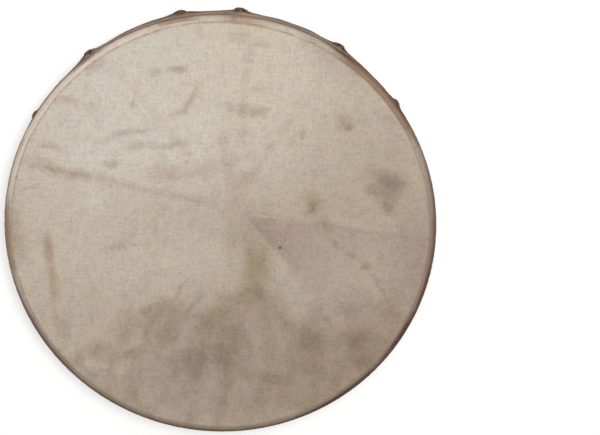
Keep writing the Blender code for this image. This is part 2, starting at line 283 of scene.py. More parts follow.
slot = put("GeometryNodeFilletCurve", {"Curve": slot, "Count": 7, "Radius": size["Slot corner"],
    "Limit Radius": True}, mode="POLY")
within = minus(size["Middle radius"], times(size["Wall"], 2.0))
without = plus(size["Middle radius"], size["Wall"])
through = put("GeometryNodeCurvePrimitiveLine", {"Start": xyz(within), "End": xyz(without)})
through = put("GeometryNodeSetCurveNormal", {"Curve": through}, mode="Z_UP")
slot = put("GeometryNodeCurveToMesh", {"Curve": through, "Profile Curve": slot, "Fill Caps": True})
slot = put("GeometryNodeTransform", {"Geometry": slot, "Rotation": xyz(z=size["Slot angle"]),
    "Translation": xyz(z=size["Slot middle"])})
slotted = put("GeometryNodeMeshBoolean", {"Mesh 1": bent, "Mesh 2": slot},
    operation="DIFFERENCE", solver="EXACT")
end_tree(slotted, wood)
hoop = grown("drum_hoop")
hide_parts("hoop")
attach(hoop, "root")

# The head: one raw hide, soaked, drawn over the hoop's front edge and dried tight. Its skirt
# hangs down the outside to a hem that the ties pull into scallops, and each tie passes through
# a hole punched near the hem. Smoke, hands and damp have stained it.
HEAD_OUT = 0.2000
HIDE_THICK = 0.0015
HEAD_TOP = head_high.z
HEAD_ROUND = 0.0050
HIDE_IN = HEAD_OUT - HIDE_THICK
HEM_LOW = 0.0160
HOLE_HEIGHT = 0.0210
HEM_LIFT = 0.0080
HEM_SPAN = 28.0
HIDE_STEPS = 720
FACE_ROWS = 23
ROUND_ROWS = 9
SKIRT_ROWS = 38
INNER_ROWS = 4
FLESH_ROWS = 16
OUTER_ROWS = 76
FACE_LOW = 0.00018
ARRIS_PRINT = 0.1917
PRINT_DEEP = 0.00022
INNER_ROUND = 0.0035
HEM_ROUND = 0.0003
PUCKER_HIGH = 0.0019
FOLD_HIGH = 0.0013
# Each tie as (angles of its two thongs on the hoop's back edge, angles of its two holes).
TIES = (
    ((39.5, 52.5), (35.3, 56.5)),
    ((87.2, 97.6), (84.6, 100.2)),
    ((129.6, 141.0), (127.0, 149.0)),
    ((175.4, 185.8), (172.8, 188.4)),
    ((220.8, 231.2), (218.2, 233.8)),
    ((264.6, 275.0), (262.0, 277.6)),
    ((309.8, 320.2), (307.2, 322.8)),
    ((354.8, 365.2), (352.2, 367.8)),
)
holes = sorted(hole % 360.0 for edges, pair in TIES for hole in pair)
UP = Vector((0.0, 0.0, 1.0))


def around(radius, degrees, height=0.0):
    """A point at a radius, an angle and a height."""
    angle = math.radians(degrees)
    return Vector((radius * math.cos(angle), radius * math.sin(angle), height))


def rough(seed, *place):
    """A smooth random value from about -1 to 1 at a place."""
    return noise.noise(Vector((*place, seed * 17.3)[:3]) + Vector((seed * 3.1, seed * 7.7, 0.0)))


def scallop(degrees):
    """How high the hem stands at an angle, and how far between two holes it is, 0 to 1."""
    below = [hole for hole in holes if hole <= degrees] or [holes[-1] - 360.0]
    above = [hole for hole in holes if hole > degrees] or [holes[0] + 360.0]
    span = above[0] - below[-1]
    share = (degrees - below[-1]) / span
    arch = 4.0 * share * (1.0 - share)
    slack = (span / HEM_SPAN) ** 2
    wander = 0.0005 * rough(3, degrees * 0.35, 0.0, 0.0)
    return HEM_LOW + HEM_LIFT * slack * arch + wander * arch, arch * min(slack, 1.0)


def pulled(degrees, height, hem, arch):
    """How far the hide stands off the hoop: puckers round the holes and a lifted hem."""
    off = 0.0
    for number, hole in enumerate(holes):
        turn = (degrees - hole + 180.0) % 360.0 - 180.0
        if abs(turn) > 18.0:
            continue
        along = math.radians(turn) * HEAD_OUT
        up = height - HOLE_HEIGHT
        away = math.hypot(along, up)
        fan = math.atan2(along, up)
        off += PUCKER_HIGH * math.exp(-(along / 0.0120) ** 2 - (up / 0.0100) ** 2)
        folds = math.cos(fan * 6.0 + number * 2.4 + 1.1 * rough(5, away * 90.0, number, 0.0))
        reach = math.exp(-away / 0.0150) * min(1.0, away / 0.004)
        off += FOLD_HIGH * folds * reach * (0.35 + 0.65 * (up > 0.0))
    curl = math.exp(-max(height - hem, 0.0) / 0.0032)
    off += (0.0011 + 0.0006 * rough(7, degrees * 0.12, 0.0, 0.0)) * curl * arch
    off += 0.00022 * rough(9, degrees * 0.25, height * 60.0, 0.0)
    return max(off, 0.0)


def hide_rows(degrees):
    """One line of the hide from the middle of the face, down the skirt and back inside."""
    hem, arch = scallop(degrees)
    heading = around(1.0, degrees)
    line = []

    def add(radius, height):
        line.append(heading * radius + UP * height)

    def sagging(radius, depth):
        spot = heading * radius
        return depth * rough(11, spot.x * 16.0, spot.y * 16.0, 0.0)

    faces = [0.004 + 0.184 * (step / (FACE_ROWS - 1)) ** 0.9 for step in range(FACE_ROWS)]
    for radius in faces + [0.1893, 0.1903, 0.1911, 0.1919, 0.1927, 0.1936]:
        sag = sagging(radius, 0.00012)
        sag -= PRINT_DEEP / (1.0 + math.exp((radius - ARRIS_PRINT) / 0.0004)) - PRINT_DEEP / 2
        add(radius, HEAD_TOP - FACE_LOW + sag)
    for step in range(ROUND_ROWS):
        bend = math.radians(90.0 * step / (ROUND_ROWS - 1))
        ripple = 0.00030 * rough(13, degrees * 0.8, step * 0.15, 0.0) * step / (ROUND_ROWS - 1)
        add(HEAD_OUT - HEAD_ROUND + (HEAD_ROUND + ripple) * math.sin(bend),
            HEAD_TOP - HEAD_ROUND + HEAD_ROUND * math.cos(bend) - 0.00008)
    top = HEAD_TOP - HEAD_ROUND
    skirt = []
    for step in range(1, SKIRT_ROWS + 1):
        share = step / SKIRT_ROWS
        height = top + (hem + 0.0004 - top) * share
        off = pulled(degrees, height, hem, arch) * min(1.0, share * 6.0)
        skirt.append((height, off))
        add(HEAD_OUT + off, height)
    add(HEAD_OUT - HEM_ROUND + off, hem)
    add(HIDE_IN + HEM_ROUND + off, hem)
    for height, off in reversed(skirt[::2]):
        add(HIDE_IN + off, height)
    flesh_top = HEAD_TOP - HIDE_THICK
    for step in range(INNER_ROWS):
        bend = math.radians(90.0 - 90.0 * step / (INNER_ROWS - 1))
        add(HIDE_IN - INNER_ROUND + INNER_ROUND * math.sin(bend),
            flesh_top - INNER_ROUND + INNER_ROUND * math.cos(bend))
    for step in range(FLESH_ROWS):
        radius = 0.1910 - 0.1870 * step / (FLESH_ROWS - 1)
        add(radius, flesh_top - FACE_LOW + sagging(radius, 0.00015))
    return line


points = []
for step in range(HIDE_STEPS):
    points.extend(hide_rows(step * 360.0 / HIDE_STEPS))
rows = len(points) // HIDE_STEPS
faces = []
for step in range(HIDE_STEPS):
    this, following = step * rows, (step + 1) % HIDE_STEPS * rows
    for row in range(rows - 1):
        faces.append((this + row, this + row + 1, following + row + 1, following + row))
    faces.append((this, following, len(points)))
    faces.append((following + rows - 1, this + rows - 1, len(points) + 1))
points.append(UP * (HEAD_TOP - 0.00022))
points.append(UP * (HEAD_TOP - HIDE_THICK - 0.0002))
hide_mesh = bpy.data.meshes.new("hide")
hide_mesh.from_pydata(points, [], faces)
flesh_side = hide_mesh.attributes.new("flesh", "FLOAT", "POINT")
for index in range(HIDE_STEPS * rows):
    flesh_side.data[index].value = float(index % rows > OUTER_ROWS)
flesh_side.data[len(points) - 1].value = 1.0
hide_mesh.update()

# A stain: one soft ragged spot of another colour, which is laid over what is under it.
stain_tree = tree = bpy.data.node_groups.new("stain", "ShaderNodeTree")
STAIN_INPUTS = {"Under": "Color", "Place": "Vector", "Grain": "Float", "Stain": "Color",
    "Middle": "Vector", "Reach": "Vector", "Turn": "Float", "Soft": "Float", "Ragged": "Float",
    "Amount": "Float"}
for label, kind in STAIN_INPUTS.items():
    tree.interface.new_socket(label, in_out="INPUT", socket_type="NodeSocket" + kind)
tree.interface.new_socket("Colour", in_out="OUTPUT", socket_type="NodeSocketColor")
given = tree.nodes.new("NodeGroupInput").outputs
away = vectors("SUBTRACT", given["Place"], given["Middle"])
away = put("ShaderNodeVectorRotate", {"Vector": away, "Angle": times(given["Turn"], -1.0)},
    rotation_type="Z_AXIS")
away = vectors("LENGTH", vectors("DIVIDE", away, given["Reach"]))
away = times_plus(given["Grain"], given["Ragged"], away)
spread = put("ShaderNodeMapRange", {"Value": away, "From Min": minus(1.0, given["Soft"]),
    "From Max": plus(1.0, times(given["Soft"], 0.6)), "To Min": given["Amount"], "To Max": 0.0},
    interpolation_type="SMOOTHSTEP")
put("NodeGroupOutput", [blend(spread, given["Under"], given["Stain"])])

PALE_BLUE = 203, 197, 184
BONE = 203, 193, 174
BEIGE = 188, 174, 157
TAUPE = 168, 150, 135
TAUPE_DARK = 150, 132, 118
UMBER = 124, 106, 90
OLIVE = 146, 128, 98
BROWN = 150, 122, 100
PINK_BROWN = 172, 146, 130
TAN = 182, 152, 116

# The broad clouds are partly real staining and partly painted light: they make the face paler to the
# upper left and darker towards the bottom, as light from the upper left falls on it.
# Each as (name, middle to the right and up, half its length, half its width, in thousandths of
# the face's radius, turn in degrees, colour, and amount, softness and raggedness in percent).
CLOUDS = (
    ("pale upper left", -436, 553, 600, 500, -35, PALE_BLUE, 85, 90, 50),
    ("pale upper middle", 115, 759, 550, 360, 0, BONE, 70, 90, 50),
    ("pale left", -674, 115, 360, 400, 0, (197, 187, 170), 55, 90, 40),
    ("grey right", 787, 263, 380, 500, 0, (173, 157, 140), 68, 95, 50),
    ("dull middle", 250, 100, 950, 170, 0, (166, 148, 128), 38, 95, 50),
    ("dim right edge", 950, -200, 150, 360, 4, (138, 118, 102), 58, 95, 40),
    ("dim upper right", 540, 850, 200, 120, -34, (160, 141, 127), 55, 95, 50),
    ("brown by the wedge", 150, -20, 130, 140, 0, (150, 129, 110), 42, 95, 50),
    ("dull lower left", -633, -469, 400, 400, 0, (184, 169, 151), 50, 90, 50),
    ("dark mass below", 0, -770, 580, 440, 0, (155, 137, 120), 80, 62, 80),
    ("dark mass middle", 163, -448, 360, 260, 0, (160, 142, 124), 70, 80, 90),
    ("dark lower right", 610, -690, 480, 300, 42, (144, 125, 104), 88, 66, 70),
    ("lighter bottom edge", -120, -957, 450, 100, 0, (172, 155, 139), 70, 90, 40),
    ("warm lower left", -520, -610, 190, 220, 40, (184, 167, 149), 55, 95, 50),
)
STAINS = (
    ("spot above", -191, 752, 52, 17, 4, UMBER, 50, 90, 90),
    ("flecks above", -296, 744, 40, 22, 0, PINK_BROWN, 45, 90, 120),
    ("smudge at upper left rim", -553, 755, 55, 26, 35, BROWN, 35, 90, 120),
    ("upright dash", -398, 605, 10, 34, -8, BROWN, 42, 90, 70),
    ("left smear", -690, 610, 62, 20, -4, PINK_BROWN, 50, 90, 120),
    ("left smear end", -575, 590, 50, 30, 0, PINK_BROWN, 35, 90, 130),
    ("slanting streak", -132, 637, 78, 19, 50, BROWN, 42, 90, 90),
    ("slanting streak foot", -179, 572, 45, 20, 40, BROWN, 28, 90, 100),
    ("upper mottle", -423, 462, 110, 18, 9, BROWN, 33, 90, 140),
    ("upper mottle end", -335, 481, 30, 16, 12, BROWN, 35, 90, 120),
    ("mottle", -369, 408, 70, 22, 6, BROWN, 32, 90, 140),
    ("mottle right", -234, 411, 70, 22, 14, BROWN, 34, 90, 140),
    ("mottle right end", -161, 430, 40, 18, 10, BROWN, 30, 90, 120),
    ("dark smudge left", -504, 338, 52, 19, 4, UMBER, 46, 90, 100),
    ("tan dot", -148, 331, 11, 11, 0, TAN, 75, 90, 20),
    ("pinkish mottle", -241, 288, 90, 40, 0, PINK_BROWN, 50, 90, 140),
    ("pinkish mottle end", -59, 312, 80, 35, 12, PINK_BROWN, 42, 90, 140),
    ("faint smear left", -771, 404, 70, 16, -3, PINK_BROWN, 45, 90, 120),
    ("faint smear lower", -862, 224, 55, 13, 16, BROWN, 28, 90, 90),
    ("bluish patch", -577, 157, 55, 65, 0, PALE_BLUE, 50, 90, 90),
    ("bluish patch above", -606, 370, 110, 60, -20, PALE_BLUE, 55, 90, 90),
    ("bluish patch middle", -58, 524, 85, 80, 0, PALE_BLUE, 50, 90, 80),
    ("bluish patch high", -333, 861, 80, 45, 20, PALE_BLUE, 50, 90, 80),
    ("upright shade", 0, 759, 30, 80, 0, PINK_BROWN, 8, 90, 100),
    ("cluster", 122, 583, 85, 34, -8, BROWN, 36, 90, 150),
    ("cluster end", 184, 572, 32, 32, 0, BROWN, 33, 90, 130),
    ("cluster below", 105, 479, 50, 32, 10, PINK_BROWN, 20, 90, 150),
    ("high smudge", 185, 876, 50, 24, -10, PINK_BROWN, 45, 90, 130),
    ("high smudge left", 76, 906, 45, 30, 0, PINK_BROWN, 40, 90, 130),
    ("freckles", 176, 685, 30, 24, 0, BROWN, 28, 90, 150),
    ("pink spot right", 554, 538, 60, 40, -48, BROWN, 42, 90, 90),
    ("olive in pink spot", 573, 505, 22, 18, -40, OLIVE, 55, 90, 70),
    ("olive dash", 368, 469, 40, 15, 100, OLIVE, 40, 90, 80),
    ("pinkish below cluster", 45, 347, 32, 60, 0, PINK_BROWN, 40, 90, 120),
    ("pinkish near middle", 108, 268, 80, 32, 30, PINK_BROWN, 50, 90, 120),
    ("bright by the middle", 59, 165, 50, 70, 0, PINK_BROWN, 40, 90, 100),
    ("olive spot", 425, 150, 46, 64, 14, OLIVE, 60, 90, 100),
    ("olive spot core", 432, 125, 26, 30, 0, (128, 110, 82), 45, 85, 90),
    ("olive chain one", 490, 47, 28, 44, 20, OLIVE, 56, 90, 100),
    ("olive chain two", 530, -43, 21, 18, 0, OLIVE, 59, 80, 90),
    ("olive chain three", 606, -96, 23, 16, -35, OLIVE, 51, 80, 90),
    ("olive chain four", 678, -154, 23, 19, -30, OLIVE, 67, 80, 80),
    ("olive chain tail", 754, -286, 114, 12, -62, OLIVE, 44, 80, 80),
    ("blotch", 760, 229, 92, 88, 0, TAUPE_DARK, 76, 80, 120),
    ("blotch heart", 787, 244, 53, 62, 0, UMBER, 51, 80, 100),
    ("blotch arm", 695, 209, 40, 26, 10, OLIVE, 55, 80, 100),
    ("blotch foot", 770, 137, 40, 40, 0, (136, 118, 94), 70, 85, 90),
    ("pink above blotch", 777, 385, 50, 32, 0, BROWN, 22, 90, 130),
    ("pink beside blotch", 643, 302, 50, 50, 0, PINK_BROWN, 22, 90, 130),
    ("grey by the right rim", 775, 534, 70, 24, -30, TAUPE_DARK, 32, 90, 100),
    ("level patch", -470, -57, 78, 22, 13, BROWN, 36, 90, 100),
    ("level patch rise", -409, -10, 45, 16, 55, PINK_BROWN, 45, 90, 90),
    ("level patch end", -332, -38, 30, 16, 8, TAN, 42, 90, 80),
    ("tan dot low", -781, -416, 24, 22, 0, TAN, 50, 90, 60),
    ("pink upright", -618, -404, 12, 50, 0, PINK_BROWN, 45, 90, 70),
    ("tan patch", -606, -565, 75, 44, 20, (166, 140, 112), 45, 90, 120),
    ("fringe patch", -260, -360, 120, 50, 18, (144, 124, 104), 55, 85, 120),
    ("fringe patch left", -356, -375, 35, 26, 0, UMBER, 37, 80, 100),
    ("fringe streak", -192, -270, 80, 13, 50, BROWN, 38, 90, 80),
    ("fringe streak two", -132, -343, 70, 14, 62, UMBER, 30, 90, 90),
    ("grey slant", -352, -562, 114, 40, 35, TAUPE_DARK, 44, 80, 100),
    ("grey low left", -391, -709, 79, 53, 20, TAUPE_DARK, 30, 80, 120),
    ("brown by the left rim", -965, 0, 70, 140, 0, BROWN, 56, 95, 60),
    ("faint slant", -555, -672, 70, 16, 22, TAUPE_DARK, 32, 90, 90),
    ("dark patch one", -117, -623, 92, 92, 0, (128, 110, 92), 52, 80, 120),
    ("dark patch two", 21, -597, 53, 88, 0, (128, 110, 94), 59, 80, 120),
    ("brown above them", 0, -375, 53, 70, -10, OLIVE, 51, 80, 120),
    ("brown beside", -82, -427, 44, 53, 0, UMBER, 34, 80, 120),
    ("olive upright", 165, -190, 68, 160, -8, OLIVE, 74, 85, 100),
    ("olive upright core", 190, -276, 28, 48, 0, (128, 108, 82), 59, 80, 90),
    ("olive foot", 101, -312, 70, 53, 30, OLIVE, 44, 80, 100),
    ("dark patch three", 415, -512, 53, 66, 0, (124, 106, 88), 61, 80, 110),
    ("dark patch four", 632, -496, 57, 44, 0, (124, 106, 88), 56, 80, 110),
    ("dark patch five", 674, -623, 53, 48, 0, (120, 102, 84), 63, 80, 110),
    ("dark patch six", 261, -724, 70, 48, 0, (124, 106, 90), 42, 80, 110),
    ("dark patch seven", 371, -662, 44, 53, 20, (132, 114, 96), 28, 80, 110),
    ("light between", 254, -385, 60, 60, 0, TAUPE, 25, 90, 100),
    ("light low right", 430, -750, 120, 90, 20, (164, 147, 129), 66, 90, 100),
    ("light low left", -450, -610, 100, 70, 15, (182, 165, 147), 42, 90, 100),
    ("light in the mass", -320, -490, 70, 50, 15, (174, 157, 138), 34, 90, 100),
    ("light in the middle", -30, -480, 60, 50, 0, (168, 151, 133), 36, 90, 100),
    ("brown right of it", 175, -340, 90, 70, 20, (140, 121, 96), 24, 90, 100),
    ("brown low right", 620, -570, 160, 110, 25, (138, 118, 92), 36, 90, 100),
    ("brown far right", 770, -400, 100, 90, -40, (164, 144, 120), 50, 90, 100),
    ("light bottom left", -240, -900, 130, 50, -14, (176, 160, 145), 45, 90, 100),
    ("light below the wedge", 560, -400, 120, 90, -20, TAUPE, 50, 90, 90),
    ("light at the bottom", 280, -900, 120, 60, 12, (168, 152, 137), 50, 90, 100),
    ("grey mass, left end", -290, -660, 100, 70, 15, TAUPE_DARK, 36, 90, 120),
)
STRAIGHT_STAINS = (
    ("long streak left", -790, -165, 24, 180, 3, (168, 142, 118), 60, 80, 70),
    ("long streak head", -800, -60, 28, 60, 0, BROWN, 46, 90, 90),
    ("long streak foot", -775, -270, 34, 75, 3, (172, 146, 118), 42, 90, 80),
    ("tan upright", -455, -452, 55, 95, -8, (156, 132, 108), 50, 80, 110),
    ("orange dot", 275, -61, 8.5, 8, 0, (104, 66, 34), 95, 60, 10),
)

hide, place, radius, turn, height = new_material("raw hide")
face_place = vectors("MULTIPLY", place, (1 / HEAD_OUT, 1 / HEAD_OUT, 0.0))
wander = vectors("MULTIPLY", stray(place, 38.0, 4.0, 0.62), (0.085, 0.085, 0.0))
near_place = vectors("ADD", face_place, wander)
ragged = minus(mottle(place, 95.0, 5.0, 0.68), 0.5)
coarse = minus(mottle(place, 26.0, 5.0, 0.62), 0.5)


def lay_stains(under, stains, grain, where):
    """Lays a list of stains one over another on the face of the hide."""
    for label, across, up, long, wide, degrees, stain, amount, soft, ragged_by in stains:
        under = put("ShaderNodeGroup", {"Under": under, "Place": where, "Grain": grain, "Stain": stain,
            "Middle": (across / 1000, up / 1000, 0.0), "Reach": (long / 1000, wide / 1000, 1.0),
            "Turn": math.radians(degrees), "Soft": soft / 100, "Ragged": ragged_by / 100,
            "Amount": amount / 100}, node_tree=stain_tree, label=label)
    return under


colour = lay_stains(BEIGE, CLOUDS, coarse, near_place)


def fan(middle):
    """The face's angle and distance from a point on it, and its height above the point."""
    off = vectors("SUBTRACT", face_place, (*middle, 0.0))
    x, y, z = split(off)
    return sums("ARCTAN2", y, x), vectors("LENGTH", off), y


def step_at(turn, start, stop):
    """A soft step between two angles in degrees."""
    return soft_step(turn, math.radians(start), math.radians(stop))


# The wet hide was folded in a wedge at the right, and it dried paler along the wedge's left.
tip_turn, tip_away = fan((0.104, 0.095))[:2]
tip_turn = times_plus(ragged, 0.05, tip_turn)
left_edge = times_plus(tip_away, 0.22, tip_turn)
wedge = times(step_at(tip_turn, -5.2, -8.2), step_at(left_edge, -53.0, -40.0),
    soft_step(tip_away, 0.0, 0.07))
near_tip = times_plus(soft_step(tip_away, 0.80, 0.10), 0.26, 0.40)
colour = lay(colour, wedge, near_tip, (160, 140, 127))
wedge_shade = times(wedge, step_at(left_edge, -8.0, -40.0), soft_step(tip_away, 0.52, 0.12))
colour = lay(colour, wedge_shade, 0.42, (140, 122, 110))
pale_streak = times(step_at(left_edge, -62.0, -53.0), step_at(left_edge, -43.0, -49.0),
    soft_step(tip_away, 0.62, 0.36), soft_step(tip_away, 0.06, 0.16))
colour = lay(colour, pale_streak, 0.18, (186, 173, 153))

# Creases fan out from near the middle, where the wet hide was folded.
fold_turn, fold_away, fold_up = fan((0.055, 0.125))
fold_turn = plus(fold_turn, times(coarse, 0.10))
# Each as (angle in degrees, half width, start, end, colour, amount).
CREASES = (
    (167.2, 0.036, 0.03, 1.06, BROWN, 0.20),
    (167.6, 0.016, 0.10, 1.04, BROWN, 0.13),
    (167.9, 0.044, 0.64, 0.99, (146, 120, 100), 0.36),
    (165.0, 0.020, 0.80, 1.04, BROWN, 0.24),
    (-9.6, 0.014, 0.08, 1.00, TAUPE_DARK, 0.30),
    (98.0, 0.030, 0.05, 0.46, PINK_BROWN, 0.34),
    (84.0, 0.034, 0.28, 0.80, PINK_BROWN, 0.26),
    (58.0, 0.030, 0.10, 0.56, PINK_BROWN, 0.26),
    (128.0, 0.026, 0.25, 0.85, PINK_BROWN, 0.22),
    (-92.0, 0.030, 0.05, 0.40, OLIVE, 0.20),
    (-68.0, 0.026, 0.05, 0.40, OLIVE, 0.22),
)
for degrees, width, start, stop, stain, amount in CREASES:
    off = sums("ABSOLUTE", times(minus(fold_turn, math.radians(degrees)), fold_away))
    crease = times(soft_step(off, width, width * 0.15), soft_step(fold_away, start, start + 0.08),
        soft_step(fold_away, stop, stop - 0.12), soft_step(ragged, -0.28, 0.10))
    colour = lay(colour, crease, amount, stain)
colour = lay_stains(colour, STAINS, ragged, near_place)
colour = lay_stains(colour, STRAIGHT_STAINS, ragged, face_place)

# Streaks run towards the rim in the damp lower half, among blotches.
streaks = mottle(xyz(times(fold_turn, 9.0), times(fold_away, 3.2)), 1.6, 4.0, 0.62)
damp = soft_step(fold_up, -0.28, -0.62)
colour = lay(colour, times(soft_step(streaks, 0.46, 0.66), damp), 0.22, (126, 108, 92))
colour = lay(colour, times(soft_step(streaks, 0.44, 0.30), damp), 0.16, (178, 162, 146))
blotches = mottle(place, 23.0, 3.5, 0.55, stretch=(1.3, 0.85, 1.0), warp=0.6)
colour = lay(colour, times(soft_step(blotches, 0.46, 0.68), damp), 0.40, (130, 111, 90))
colour = lay(colour, times(soft_step(blotches, 0.50, 0.30), damp), 0.34, (174, 156, 144))

# Mottling of the hide itself: soft patches, grain, the marks of scraping and specks.
cloudy = mottle(place, 62.0, 4.0, 0.6)
colour = lay(colour, soft_step(cloudy, 0.50, 0.72), 0.30, (158, 136, 120))
grain = mottle(place, 430.0, 4.0, 0.85)
colour = lay(colour, soft_step(grain, 0.54, 0.68), 0.22, (118, 98, 84))
scraped = plus(mottle(place, 62.0, 3.0, 0.7, (1.0, 9.0, 1.0)),
    mottle(place, 62.0, 3.0, 0.7, (9.0, 1.0, 1.0)))
tinted = vectors("MULTIPLY_ADD", stray(place, 80.0, 3.0, 0.6), (0.13, 0.07, 0.12), (1.0, 1.0, 1.0))
lively = times_plus(minus(grain, 0.5), 0.90, 0.80)
lively = times_plus(minus(cloudy, 0.5), 0.34, lively)
lively = times_plus(minus(scraped, 1.0), 0.22, lively)
colour = scaled(vectors("MULTIPLY", colour, tinted), lively)
speck = put("ShaderNodeTexVoronoi", {"Vector": place, "Scale": 240.0, "Randomness": 1.0}).outputs
pick = put("ShaderNodeSeparateColor", [speck["Color"]])
specks = times(soft_step(speck["Distance"], 0.20, 0.08), soft_step(pick, 0.86, 0.90))
colour = lay(colour, specks, 0.42, (112, 90, 74))

# The rim: painted shade along the print of the hoop's inner arris, a painted highlight in a pale band
# at its upper left, and a brown edge, partly dirt and partly painted shade on its lower side.
spin = times(turn, math.tau)
round_rim = xyz(sums("COSINE", spin), sums("SINE", spin), times(plus(radius, height), 5.0))
rim_wave = mottle(round_rim, 3.2, 4.0, 0.6)
rim_radius = plus(radius, times(minus(rim_wave, 0.5), 0.0026))
lengthwise = mottle(xyz(times(turn, 64.0), times(radius, 950.0), height), 1.0, 3.0, 0.6)
# The side of the rim turned away from the light, where the edge below is painted darker as shade.
shaded_side = soft_step(sums("COSINE", minus(spin, math.radians(-73.0))), -0.45, 0.45)


def rim_from(start, stop):
    """A soft step between two radii of the uneven rim."""
    return soft_step(rim_radius, start, stop)


def rim_near(degrees, start, stop):
    """A soft step by how far round the rim a place is from an angle."""
    return soft_step(sums("ABSOLUTE", minus(turn, degrees / 360.0)), start, stop)


# A dark dotted line just inside the rim: painted shade in the dip that the hoop's inner arris prints
# in the hide.
arris_shade_line = times(rim_from(0.1918, 0.1930), rim_from(0.1944, 0.1934))
dotted = times_plus(soft_step(ragged, -0.05, 0.12), 0.38, 0.28)
colour = lay(colour, arris_shade_line, dotted, (126, 102, 86))
rim_band = times(rim_from(0.1930, 0.1944), times_plus(rim_wave, 0.6, 0.20))
colour = lay(colour, rim_band, times_plus(shaded_side, 0.35, 0.15), (152, 134, 121))
# A pale band at the upper left of the rim: a painted highlight on the hide's ridge over the hoop's
# arris.
highlight_band = times(rim_from(0.1934, 0.1946), rim_near(136.0, 0.105, 0.050))
colour = lay(colour, highlight_band, 0.40, (206, 189, 175))
# Darker brown towards the edge, most on the lower side: partly brown dirt and partly painted shade on
# the side turned away from the light.
edge = times(rim_from(0.1908, 0.1984), times_plus(rim_wave, 0.5, 0.60))
colour = lay(colour, edge, shaded_side, (78, 59, 46))
colour = lay(colour, times(rim_from(0.1962, 0.1986), shaded_side), 0.50, (58, 43, 33))
clean_edge = times(rim_from(0.1972, 0.2000), 0.62)
colour = lay(colour, clean_edge, minus(1.0, shaded_side), (104, 80, 62))
# The rolled edge is painted darker as it turns down: painted shade over its brown staining.
rolled_shade = soft_step(height, HEAD_TOP - 0.0016, HEAD_TOP - 0.0042)
colour = lay(colour, rolled_shade, 0.55, (74, 55, 42))
# Each stained length as (name, angle, half length in degrees, inner radius, colour, amount).
RIM_ARCS = (
    ("rubbed brown, upper right", 43.0, 14.0, 0.1922, (124, 95, 74), 0.78),
    ("rubbed brown, its outer half", 40.0, 15.0, 0.1958, (112, 82, 60), 0.60),
    ("rubbed brown, its dark line", 42.0, 15.0, 0.1986, (66, 47, 36), 0.72),
    ("dark at the tie, upper right", 56.5, 3.5, 0.1968, (62, 46, 36), 0.72),
    ("dark at the tie, right", 35.0, 3.0, 0.1972, (58, 42, 32), 0.70),
    ("brown edge, upper left", 143.0, 34.0, 0.1988, (104, 72, 52), 0.75),
    ("dark at the tie, upper left", 127.0, 4.0, 0.1966, (96, 72, 58), 0.60),
    ("warm, at the top", 101.0, 4.0, 0.1950, (132, 96, 70), 0.70),
    ("warm, right of the top", 84.0, 4.5, 0.1922, (138, 106, 82), 0.55),
    ("brown, left", 182.0, 9.0, 0.1938, (120, 88, 68), 0.62),
    ("dirt, lower left", 218.0, 24.0, 0.1966, (100, 76, 58), 0.55),
    ("dirt, bottom", 272.0, 30.0, 0.1972, (82, 64, 50), 0.62),
    ("black, lower right", 302.5, 3.0, 0.1944, (44, 34, 27), 0.85),
    ("grime, lower right", 305.0, 13.0, 0.1944, (72, 56, 44), 0.72),
    ("red brown, right", 329.5, 6.0, 0.1934, (66, 34, 25), 0.78),
    ("red brown, far right", 345.0, 5.0, 0.1946, (90, 50, 38), 0.70),
    ("brown, right", 4.0, 12.0, 0.1966, (104, 80, 64), 0.60),
)
for label, middle, half, inner, stain, amount in RIM_ARCS:
    off = minus(turn, middle / 360.0)
    off = minus(sums("FRACT", plus(off, 0.5)), 0.5)
    off = plus(sums("ABSOLUTE", off), times(ragged, 0.030))
    arc = soft_step(off, (half + 4.0) / 360.0, (half - 3.0) / 360.0)
    colour = lay(colour, times(arc, rim_from(inner, inner + 0.0014)), amount, stain)
streaked = times(soft_step(radius, 0.1924, 0.1940), soft_step(lengthwise, 0.52, 0.68))
colour = lay(colour, streaked, 0.46, (88, 64, 50))
# A pale line by the rim at the upper left: a painted highlight on the hide's ridge over the hoop's
# arris.
highlight_line = times(rim_from(0.1936, 0.1946), rim_from(0.1962, 0.1952), rim_near(148.0, 0.085, 0.045),
    soft_step(lengthwise, 0.36, 0.54))
colour = lay(colour, highlight_line, 0.62, (196, 178, 162))
# Short dark radial ticks near the rim: painted shade of small puckers in the hide at the hoop's edge.
pucker_shade_ticks = mottle(xyz(times(turn, 420.0), times(radius, 60.0)), 1.0, 2.0, 0.6)
pucker_shade_ticks = times(soft_step(pucker_shade_ticks, 0.55, 0.70), soft_step(radius, 0.1900, 0.1960))
colour = lay(colour, pucker_shade_ticks, 0.26, (112, 90, 74))

# The skirt is darker, and dark round the ties. The flesh side within is clean and creamy.
skirt_cloud = mottle(place, 34.0, 5.0, 0.65, (1.0, 1.0, 0.55))
skirt_colour = blend(soft_step(skirt_cloud, 0.32, 0.68), (158, 130, 104), (112, 86, 67))
skirt_colour = lay(skirt_colour, soft_step(grain, 0.5, 0.72), 0.35, (98, 76, 60))
to_hem = soft_step(height, HEM_LOW + 0.024, HEM_LOW + 0.003)
skirt_colour = lay(skirt_colour, to_hem, 0.86, (70, 51, 39))
on_skirt = soft_step(height, HEAD_TOP - 0.0022, HEAD_TOP - 0.0060)
colour = lay(colour, on_skirt, 0.88, skirt_colour)
